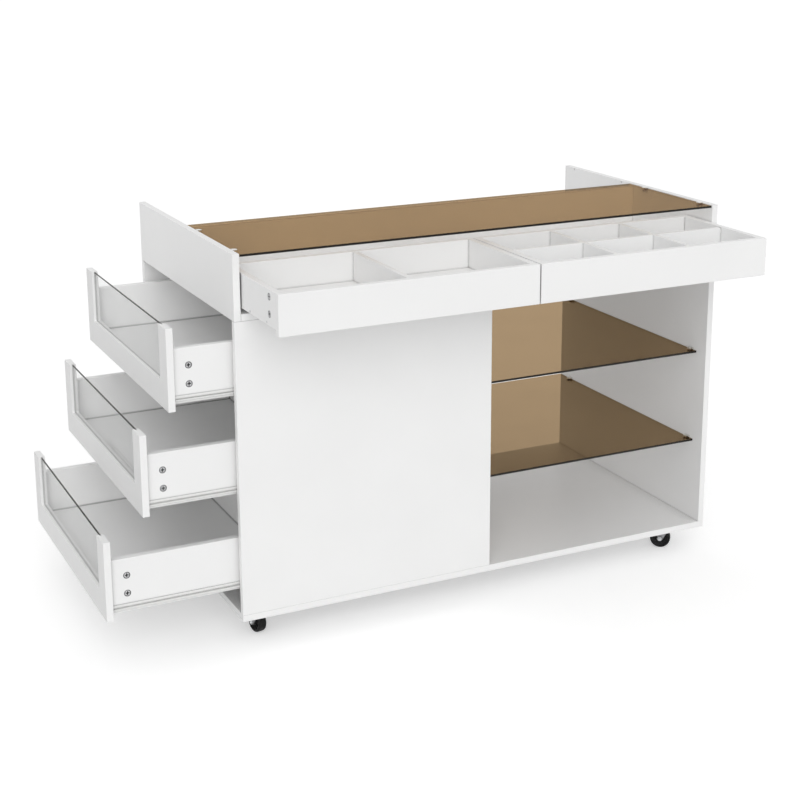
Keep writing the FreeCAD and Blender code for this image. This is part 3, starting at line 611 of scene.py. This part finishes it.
class ISLAND_OT_cam_locks(bpy.types.Operator):
    """Remakes the cams of the five drawers with a rim groove and a cross that are painted near-black as
    shade, among their bolts and screws
    """
    bl_idname = "island.cam_locks"
    bl_label = "Drawer Cams"
    bl_options = {"REGISTER"}

    def execute(self, context):
        for drawer in END_DRAWERS:
            self.refit(drawer, drawer + "_cam_locks")
        for drawer in TOP_DRAWERS:
            self.refit(drawer, drawer + "_fasteners")
        return {"FINISHED"}

    # A cam is the round piece that is thinnest along the axis it is turned by
    def refit(self, drawer, node):
        mesh = bmesh.new()
        mesh.from_mesh(NODES[node].data)
        bmesh.ops.remove_doubles(mesh, verts=mesh.verts, dist=SAME_PLACE)
        low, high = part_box(node)
        middle = (low + high) / 2
        spots = []
        for verts in self.solids(mesh):
            least = Vector([min(vert.co[i] for vert in verts) for i in range(3)])
            most = Vector([max(vert.co[i] for vert in verts) for i in range(3)])
            size = most - least
            axis = min(range(3), key=lambda i: size[i])
            if axis == 2 or abs(size[1 - axis] - size.z) > CAM_ROUND_PLAY or size.z < LEAST_CAM:
                continue
            face = Vector((0, 0, 0))
            face[axis] = 1.0 if (least + most)[axis] / 2 > middle[axis] else -1.0
            at = (least + most) / 2 + face * size[axis] / 2
            spots.append((at, face, size.z / 2, size[axis]))
            bmesh.ops.delete(mesh, geom=verts, context="VERTS")
        if len(spots) != 4:
            raise RuntimeError("expected four cams in " + node)
        for at, face, radius, deep in spots:
            self.add_cam(mesh, at, face, radius, deep)
        make_piece("cams_" + drawer, mesh, ("zinc", "cam", "cam_recess_shade"), drawer, (node,))

    def solids(self, mesh):
        left = set(mesh.verts)
        found = []
        while left:
            rim = [left.pop()]
            group = list(rim)
            while rim:
                for edge in rim.pop().link_edges:
                    for vert in edge.verts:
                        if vert in left:
                            left.remove(vert)
                            rim.append(vert)
                            group.append(vert)
            found.append(group)
        return found

    # Drawn with its face at zero height: rim, groove, inner ring and a well with four quarters; the groove,
    # and the well's walls and floor that show as a cross between the quarters, are painted near-black as
    # shade
    def add_cam(self, mesh, at, face, radius, deep):
        other_verts = set(mesh.verts)
        other_faces = set(mesh.faces)
        rim = 0.3 * MM
        ease = 0.15 * MM
        groove = -0.8 * MM
        shallow = -0.18 * MM
        well = 4.1 * MM
        well_floor = -2.4 * MM
        quarter_foot = -2.5 * MM
        half_slot = 1.25 * MM
        section = [
            (0.0, -deep), (radius - rim, -deep), (radius, -deep + rim), (radius, -ease),
            (radius - ease, 0.0), (radius - rim, 0.0), (radius - 0.45 * MM, -0.2 * MM),
            (radius - 0.5 * MM, groove), (radius - 1.6 * MM, groove), (radius - 1.7 * MM, -0.2 * MM),
            (radius - 1.9 * MM, 0.0), (well + ease, 0.0), (well, -ease), (well, well_floor),
            (0.0, well_floor),
        ]
        add_spun(mesh, section, CAM_STEPS)
        painted_shade_faces = []
        for item in mesh.faces:
            centre = item.calc_center_median()
            inside = quarter_foot < centre.z < shallow and centre.xy.length < radius - rim
            if inside and item not in other_faces:
                painted_shade_faces.append(item)
        start = math.asin(half_slot / well)
        sweep = [start + (math.pi / 2 - 2 * start) * k / 8 for k in range(9)]
        outline = [(half_slot, half_slot, quarter_foot)]
        outline += [(well * math.cos(a), well * math.sin(a), quarter_foot) for a in sweep]
        for k in range(4):
            standing = set(mesh.verts)
            add_plate(mesh, outline, (0, 0, -well_floor), ease, 1)
            quarter = [vert for vert in mesh.verts if vert not in standing]
            bmesh.ops.transform(mesh, matrix=Matrix.Rotation(math.pi / 2 * k, 4, "Z"), verts=quarter)
        made = [vert for vert in mesh.verts if vert not in other_verts]
        place_mesh(mesh, made, at, face.to_track_quat("Z", "Y").to_matrix().to_4x4())
        for item in mesh.faces:
            if item not in other_faces:
                item.material_index = 1
        # The groove and the well are painted near-black as shade
        for item in painted_shade_faces:
            item.material_index = 2


class ISLAND_OT_hardware(bpy.types.Operator):
    """Gives clips, screws, connectors and caster plates their metal"""
    bl_idname = "island.hardware"
    bl_label = "Clips and Screws"
    bl_options = {"REGISTER"}

    def execute(self, context):
        dress(["glass_clips"], "nickel")
        dress(["carcass_screws", "carcass_connectors", "pan_head_screws", "caster_plates"], "zinc")
        return {"FINISHED"}


class ISLAND_OT_glass_top(bpy.types.Operator):
    """Makes the bronze glass top with its polished edges"""
    bl_idname = "island.glass_top"
    bl_label = "Glass Top"
    bl_options = {"REGISTER"}

    def execute(self, context):
        low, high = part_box("glass_top")
        mesh = bmesh.new()
        add_block(mesh, low, high, context.scene.island_sizes.bronze_arris)
        mark_edge(mesh, FRONT)
        # The rear edge face takes the darker tint: painted shade on what is seen past it
        mark_edge(mesh, REAR, 2, 0.9)
        make_piece("bronze_glass_top", mesh, ("bronze_top", "bronze_edge", "bronze_rear_shade"), "carcass",
                   ("glass_top",))
        return {"FINISHED"}


class ISLAND_OT_glass_shelves(bpy.types.Operator):
    """Makes the two bronze glass shelves with their polished edges"""
    bl_idname = "island.glass_shelves"
    bl_label = "Glass Shelves"
    bl_options = {"REGISTER"}

    def execute(self, context):
        sizes = context.scene.island_sizes
        low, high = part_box("glass_shelves")
        mesh = bmesh.new()
        lower_top = Vector((high.x, high.y, low.z + sizes.shelf_glass))
        upper_under = Vector((low.x, low.y, high.z - sizes.shelf_glass))
        add_block(mesh, low, lower_top, sizes.bronze_arris)
        add_block(mesh, upper_under, high, sizes.bronze_arris)
        mark_edge(mesh, FRONT)
        make_piece("bronze_glass_shelves", mesh, ("bronze_shelf", "bronze_edge"), "carcass",
                   ("glass_shelves",))
        return {"FINISHED"}


class ISLAND_OT_clear_panes(bpy.types.Operator):
    """Makes the clear pane of each end drawer and the pale seal that beds it in its groove"""
    bl_idname = "island.clear_panes"
    bl_label = "Drawer Panes"
    bl_options = {"REGISTER"}

    def execute(self, context):
        arris = context.scene.island_sizes.clear_arris
        for drawer in END_DRAWERS:
            node = drawer + "_glass_pane"
            low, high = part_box(node)
            mesh = bmesh.new()
            near = Vector((low.x, low.y + PANE_SIDE_SEAT, low.z + PANE_FOOT_SEAT))
            far = Vector((high.x, high.y - PANE_SIDE_SEAT, high.z))
            add_block(mesh, near, far, arris)
            mark_edge(mesh, UP)
            glass = set(mesh.faces)
            add_block(mesh, low, (high.x, high.y, near.z - SEAL_SEAM), SEAL_SEAM, 1)
            seal_top = high.z - PANE_SEAL_DROP
            for start, end in ((low.y, near.y - SEAL_SEAM), (far.y + SEAL_SEAM, high.y)):
                add_block(mesh, (low.x, start, near.z), (high.x, end, seal_top), SEAL_SEAM, 1)
            for face in mesh.faces:
                if face not in glass:
                    face.material_index = 2
            make_piece("clear_pane_" + drawer, mesh, ("clear", "clear_edge", "seal"), drawer,
                       (node,))
        return {"FINISHED"}


class ISLAND_OT_caster_wheels(bpy.types.Operator):
    """Makes the caster wheels with their tyres, ribbed webs and hubs"""
    bl_idname = "island.caster_wheels"
    bl_label = "Caster Wheels"
    bl_options = {"REGISTER"}

    def execute(self, context):
        sizes = context.scene.island_sizes
        for corner in CORNERS:
            node = "caster_wheel_" + corner
            low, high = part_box(node)
            mesh = bmesh.new()
            self.spin_wheel(mesh, (high.z - low.z) / 2, sizes)
            smooth(mesh)
            self.add_ribs(mesh)
            axle = Vector(JOINTS["caster_spin_" + corner]["axis"])
            place_mesh(mesh, mesh.verts, (low + high) / 2,
                       Vector((0, 0, 1)).rotation_difference(axle).to_matrix().to_4x4())
            make_piece("wheel_" + corner, mesh, ("tyre", "wheel_core"), node, (node,))
        return {"FINISHED"}

    # Half section from the bore out to the tread and back on the other side
    def spin_wheel(self, mesh, radius, sizes):
        half = 10.0 * MM
        side = [
            (3.1 * MM, half + 0.6 * MM), (6.9 * MM, half + 0.9 * MM), (7.5 * MM, half + 0.4 * MM),
            (RIB_START, half - 2.8 * MM), (9.6 * MM, half - 3.0 * MM), (18.2 * MM, half - 3.0 * MM),
            (19.0 * MM, half - 2.6 * MM), (19.6 * MM, half - 0.3 * MM), (20.2 * MM, half),
            (20.8 * MM, half - 0.15 * MM), (TYRE_INSIDE, half - 0.55 * MM), (21.2 * MM, half - 0.15 * MM),
            (21.8 * MM, half), (radius - 2.4 * MM, half - 0.2 * MM), (radius - 1.3 * MM, half - 0.9 * MM),
            (radius - 0.5 * MM, half - 2.1 * MM), (radius - 0.1 * MM, half - 3.6 * MM),
            (radius, half - 5.2 * MM), (radius, 0.35 * MM), (radius - sizes.tread_line, 0.0),
        ]
        add_spun(mesh, side + [(r, -b) for r, b in reversed(side[:-1])], sizes.wheel_steps, True)
        for face in mesh.faces:
            face.material_index = 0 if face.calc_center_median().xy.length > TYRE_INSIDE else 1

    # Thin ribs stand on each side of the sunk web
    def add_ribs(self, mesh):
        for k in range(RIBS):
            turn = Matrix.Rotation(math.tau * k / RIBS, 4, "Z")
            for side in (-1, 1):
                old = set(mesh.verts)
                low = (RIB_START, -RIB_HALF, side * RIB_OUT - RIB_DEPTH)
                high = (RIB_END, RIB_HALF, side * RIB_OUT + RIB_DEPTH)
                add_block(mesh, low, high, 0.25 * MM, 1)
                made = [vert for vert in mesh.verts if vert not in old]
                bmesh.ops.transform(mesh, matrix=turn, verts=made)
                for face in {face for vert in made for face in vert.link_faces}:
                    face.material_index = 1


class ISLAND_OT_caster_forks(bpy.types.Operator):
    """Makes the pressed caster forks with their crowns, axle bolts and nuts"""
    bl_idname = "island.caster_forks"
    bl_label = "Caster Forks"
    bl_options = {"REGISTER"}

    def execute(self, context):
        for corner in CORNERS:
            node = "caster_fork_" + corner
            pivot = Vector(JOINTS["caster_swivel_" + corner]["pos_m"])
            axle = Vector(JOINTS["caster_spin_" + corner]["axis"])
            hub = Vector(JOINTS["caster_spin_" + corner]["pos_m"])
            low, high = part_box(node)
            trail = (hub.xy - pivot.xy).length
            mesh = bmesh.new()
            self.press_fork(mesh, Vector((trail, 0, hub.z - high.z)))
            smooth(mesh)
            turn = Matrix.Rotation(math.atan2(-axle.x, axle.y), 4, "Z")
            place_mesh(mesh, mesh.verts, Vector((pivot.x, pivot.y, high.z)), turn)
            make_piece("fork_" + corner, mesh, ("fork", "zinc"), node, (node,))
        return {"FINISHED"}

    # Drawn with the trail along +X, the axle along Y and the crown's top at zero height
    def press_fork(self, mesh, hub):
        inner = 11.2 * MM
        steel = 2.2 * MM
        back = -9.0 * MM
        front = 19.0 * MM
        foot = 6.8 * MM
        crown = [(5.2 * MM, -steel), (15.6 * MM, -steel), (17.0 * MM, -steel + 0.5 * MM),
                 (17.5 * MM, -steel + 1.2 * MM), (17.2 * MM, -0.4 * MM), (16.0 * MM, 0.0), (5.2 * MM, 0.0)]
        add_spun(mesh, crown, 48, True)
        add_block(mesh, (back + 3.0 * MM, -inner - steel, -steel), (front, inner + steel, 0.0), 0.9 * MM, 3)
        turns = [math.radians(15 - 170 * k / 10) for k in range(11)]
        for side in (-1, 1):
            near = side * inner
            outline = [(back, near, -0.3 * MM), (front - 0.3 * MM, near, -0.3 * MM)]
            outline += [(hub.x + foot * math.cos(a), near, hub.z + foot * math.sin(a)) for a in turns]
            add_plate(mesh, outline, (0, side * steel, 0), 0.45 * MM)
        bolt = [(0.0, 3.0 * MM), (2.6 * MM, 2.9 * MM), (4.3 * MM, 2.2 * MM), (5.1 * MM, 1.0 * MM),
                (5.2 * MM, 0.0), (0.0, 0.0)]
        self.add_axle_end(mesh, bolt, 32, Vector((hub.x, -inner - steel, hub.z)), -1)
        shank_end = 2 * (inner + steel) + MM
        shank = [(0.0, -MM), (3.0 * MM, -MM), (3.0 * MM, shank_end), (0.0, shank_end)]
        self.add_axle_end(mesh, shank, 32, Vector((hub.x, -inner - steel, hub.z)), 1)
        nut = [(0.0, 0.0), (5.8 * MM, 0.0), (5.8 * MM, 2.9 * MM), (5.1 * MM, 3.6 * MM), (3.1 * MM, 3.6 * MM),
               (2.9 * MM, 4.6 * MM), (2.3 * MM, 5.2 * MM), (0.0, 5.2 * MM)]
        self.add_axle_end(mesh, nut, 6, Vector((hub.x, inner + steel, hub.z)), 1)

    def add_axle_end(self, mesh, section, steps, at, side):
        old = set(mesh.verts)
        add_spun(mesh, section, steps)
        made = [vert for vert in mesh.verts if vert not in old]
        place_mesh(mesh, made, at, Matrix.Rotation(math.radians(-90 * side), 4, "X"))
        for face in {face for vert in made for face in vert.link_faces}:
            face.material_index = 1


class ISLAND_OT_stage(bpy.types.Operator):
    """Sets the pale floor, the even studio light and the camera"""
    bl_idname = "island.stage"
    bl_label = "Studio and Camera"
    bl_options = {"REGISTER"}

    def execute(self, context):
        stage = context.scene.island_stage
        self.lay_floor(context, stage)
        self.light_world(context, stage)
        self.hang_lamp(context, "key_lamp", KEY_FROM, stage.key, KEY_WIDE)
        self.hang_lamp(context, "top_lamp", TOP_FROM, stage.top, TOP_WIDE)
        self.set_camera(context)
        context.scene.view_settings.view_transform = "Standard"
        return {"FINISHED"}

    # Seen by the camera or in a reflection the open floor is white, and it keeps the object's shadow
    def lay_floor(self, context, stage):
        mesh = bmesh.new()
        bmesh.ops.create_grid(mesh, x_segments=8, y_segments=8, size=FLOOR_HALF)
        data = bpy.data.meshes.new("studio_floor")
        mesh.to_mesh(data)
        mesh.free()
        material, tree = start_material("pale_floor")
        cloud = noise(tree, place(tree), 1.5, 2.0)
        base = blend_colour(tree, cloud, rgba(stage.floor), rgba(stage.floor, 1.01))
        matt = put(tree, "ShaderNodeBsdfDiffuse", {"Color": base})
        lift = put(tree, "ShaderNodeEmission",
                   {"Color": (1.0, 1.0, 1.0, 1.0), "Strength": seen(tree, 0.0, FLOOR_LIFT)})
        both = put(tree, "ShaderNodeAddShader", {0: matt.outputs["BSDF"], 1: lift.outputs["Emission"]})
        finish_material(tree, both.outputs["Shader"])
        data.materials.append(material)
        floor = bpy.data.objects.new("studio_floor", data)
        context.scene.collection.objects.link(floor)

    def light_world(self, context, stage):
        world = bpy.data.worlds.new("studio")
        world.use_nodes = True
        tree = world.node_tree
        tree.nodes.clear()
        sky = put(tree, "ShaderNodeBackground",
                  {"Color": (1.0, 1.0, 1.0, 1.0), "Strength": seen(tree, stage.sky, 1.0)})
        put(tree, "ShaderNodeOutputWorld", {"Surface": sky.outputs["Background"]})
        context.scene.world = world

    def hang_lamp(self, context, name, towards, strength, wide):
        data = bpy.data.lights.new(name, "SUN")
        data.energy = strength
        data.angle = math.radians(wide)
        lamp = bpy.data.objects.new(name, data)
        lamp.rotation_euler = Vector(towards).to_track_quat("Z", "Y").to_euler()
        context.scene.collection.objects.link(lamp)

    def set_camera(self, context):
        data = bpy.data.cameras.new("photo_camera")
        data.sensor_fit = "HORIZONTAL"
        data.sensor_width = CAMERA_SENSOR
        data.lens = CAMERA_LENS
        data.shift_y = CAMERA_SHIFT_Y
        data.clip_end = CAMERA_FAR
        camera = bpy.data.objects.new("photo_camera", data)
        axes = Matrix((CAMERA_RIGHT, CAMERA_UP, -CAMERA_FORWARD)).transposed().to_4x4()
        camera.matrix_world = Matrix.Translation(CAMERA_AT) @ axes
        context.scene.collection.objects.link(camera)
        context.scene.camera = camera


OPERATORS = (
    ISLAND_OT_boards, ISLAND_OT_end_drawers, ISLAND_OT_top_drawers, ISLAND_OT_cam_locks,
    ISLAND_OT_hardware, ISLAND_OT_glass_top, ISLAND_OT_glass_shelves, ISLAND_OT_clear_panes,
    ISLAND_OT_caster_wheels, ISLAND_OT_caster_forks, ISLAND_OT_stage,
)


class ISLAND_PT_panel(bpy.types.Panel):
    """Lists the island's pieces and their sizes and colours"""
    bl_idname = "ISLAND_PT_panel"
    bl_label = "Storage Island"
    bl_space_type = "VIEW_3D"
    bl_region_type = "UI"
    bl_category = "Island"

    def draw(self, context):
        layout = self.layout
        for group in (context.scene.island_sizes, context.scene.island_colours, context.scene.island_stage):
            column = layout.column(align=True)
            for name in group.__annotations__:
                column.prop(group, name)
        column = layout.column(align=True)
        for operator in OPERATORS:
            column.operator(operator.bl_idname)


CLASSES = (IslandSizes, IslandColours, IslandStage) + OPERATORS + (ISLAND_PT_panel,)


def register():
    for item in CLASSES:
        bpy.utils.register_class(item)
    bpy.types.Scene.island_sizes = PointerProperty(type=IslandSizes)
    bpy.types.Scene.island_colours = PointerProperty(type=IslandColours)
    bpy.types.Scene.island_stage = PointerProperty(type=IslandStage)


def unregister():
    del bpy.types.Scene.island_stage
    del bpy.types.Scene.island_colours
    del bpy.types.Scene.island_sizes
    for item in reversed(CLASSES):
        bpy.utils.unregister_class(item)


def main():
    register()
    bpy.ops.island.boards()
    bpy.ops.island.end_drawers()
    bpy.ops.island.top_drawers()
    bpy.ops.island.cam_locks()
    bpy.ops.island.hardware()
    bpy.ops.island.glass_top()
    bpy.ops.island.glass_shelves()
    bpy.ops.island.clear_panes()
    bpy.ops.island.caster_wheels()
    bpy.ops.island.caster_forks()
    bpy.ops.island.stage()


if __name__ == "__main__":
    main()
